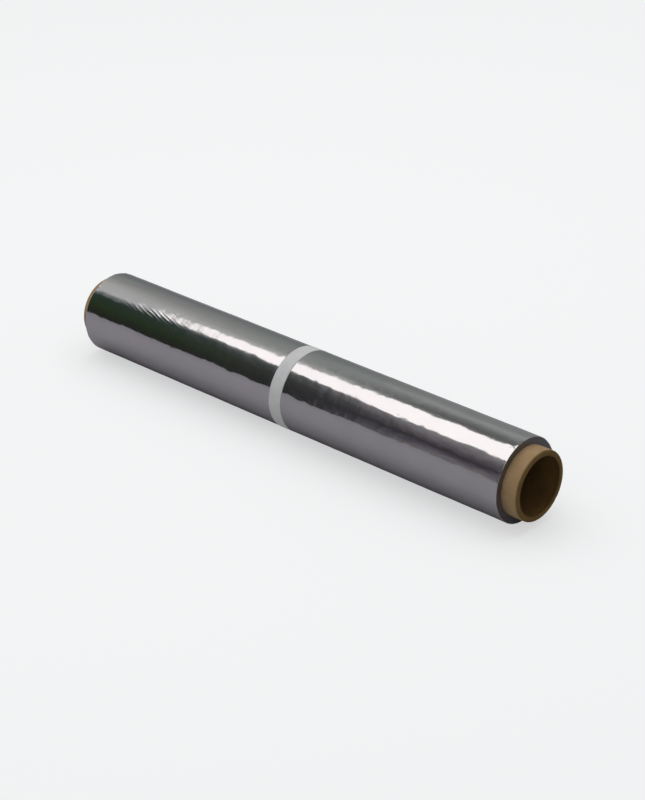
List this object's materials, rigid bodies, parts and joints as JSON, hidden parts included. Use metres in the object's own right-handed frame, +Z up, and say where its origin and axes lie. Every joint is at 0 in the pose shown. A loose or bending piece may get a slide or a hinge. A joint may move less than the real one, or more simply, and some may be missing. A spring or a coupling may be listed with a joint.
{
  "type": "aluminium foil roll",
  "caption": "Household roll of aluminium foil wound on a cardboard core, with a narrow paper band round its middle that holds the loose end down.",
  "frame": {"origin": "on the table, under the middle of the cardboard core's length, below the roll's axis", "axes": "+X along the roll's axis, towards the end where more of the core shows; +Z up; +Y across the roll"},
  "size_m": [0.316, 0.0464, 0.0462],
  "materials": {
    "core_board": "matt kraft board, spiral wound",
    "foil": "bright rolled foil with fine rolling lines round the roll",
    "band_paper": "matt uncoated off-white paper"
  },
  "bodies": {
    "root": {"core_tube": "core_board", "foil_winding": "foil", "paper_band": "band_paper"}
  },
  "joints": []
}
